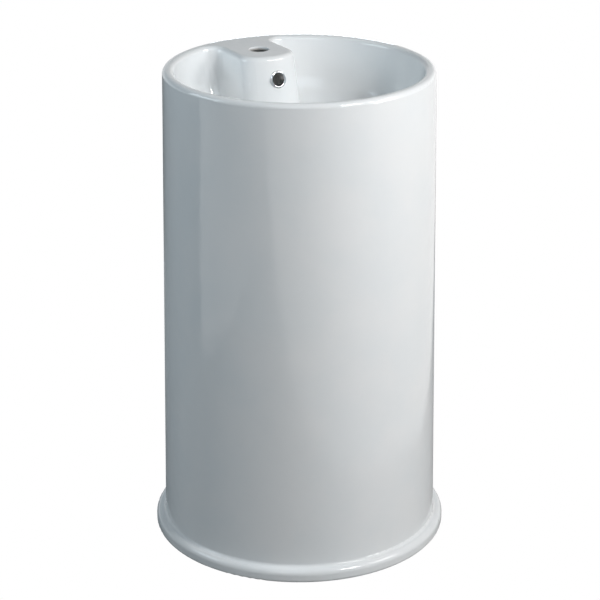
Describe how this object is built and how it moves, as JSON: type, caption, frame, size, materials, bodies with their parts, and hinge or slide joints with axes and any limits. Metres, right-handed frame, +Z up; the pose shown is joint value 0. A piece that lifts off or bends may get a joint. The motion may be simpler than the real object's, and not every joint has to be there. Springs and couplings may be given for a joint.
{
  "type": "pedestal sink",
  "caption": "Round one-piece pedestal sink in white glazed ceramic: open bowl with a rear tap ledge and ringed overflow, push-down plug, and a bottle trap inside the hollow column.",
  "frame": {"origin": "on the floor under the column's axis, which is the middle of the foot", "axes": "+Z up, -Y the user's side, +Y the wall side with the tap ledge and the drain outlet, +X to the user's right"},
  "size_m": [0.524, 0.524, 0.85],
  "materials": {
    "glaze": "white high-gloss glaze, bare matt clay under the foot",
    "chrome": "bright plated",
    "rubber": "matt black",
    "nylon": "natural, semi-matt",
    "brass": "machined, unplated",
    "steel": "zinc plated",
    "white_plastic": "moulded white polypropylene",
    "cap_plastic": "white, glossy"
  },
  "bodies": {
    "sink": {"ceramic_bowl": "glaze", "ceramic_ledge": "glaze", "ceramic_column": "glaze", "overflow_ring": "chrome", "waste_body": "chrome", "waste_top_seal": "rubber", "waste_under_seal": "rubber", "waste_slip_washer": "nylon", "waste_backnut": "brass", "clicker_housing": "nylon", "trap_inlet_nut": "white_plastic", "trap_inlet_seal": "rubber", "trap_inlet_tube": "white_plastic", "trap_tube_nut": "white_plastic", "trap_tube_seal": "rubber", "trap_head": "white_plastic", "trap_outlet_nut": "white_plastic", "trap_outlet_seal": "rubber", "outlet_pipe": "white_plastic", "floor_bracket_left": "steel", "floor_bracket_right": "steel", "bracket_bolts": "steel", "bracket_nuts": "steel", "bolt_bushes": "nylon", "bolt_caps": "cap_plastic"},
    "plug": {"plug_cap": "chrome", "plug_seal": "rubber", "plug_stem": "brass", "clicker_spring": "steel"},
    "cup_ring": {"trap_cup_seal": "rubber"},
    "cup": {"trap_cup": "white_plastic"}
  },
  "joints": [
    {"name": "plug_travel", "type": "slide", "parent": "sink", "child": "plug", "axis": [0, 0, 1], "range_m": [-0.009, 0], "stiffness_N_per_m": 500, "springref_m": 0.009, "deforming": ["clicker_spring"]},
    {"name": "cup_drop", "type": "slide", "parent": "sink", "child": "cup_ring", "axis": [0, 0, -1], "range_m": [0, 0.0121]},
    {"name": "cup_turn", "type": "hinge", "parent": "cup_ring", "child": "cup", "pos_m": [0, 0, 0.45], "axis": [0, 0, -1], "range_deg": [0, 1080]}
  ],
  "couplings": [
    {"joint": "cup_drop", "follows": "cup_turn", "m_per_rad": 0.00063662}
  ]
}
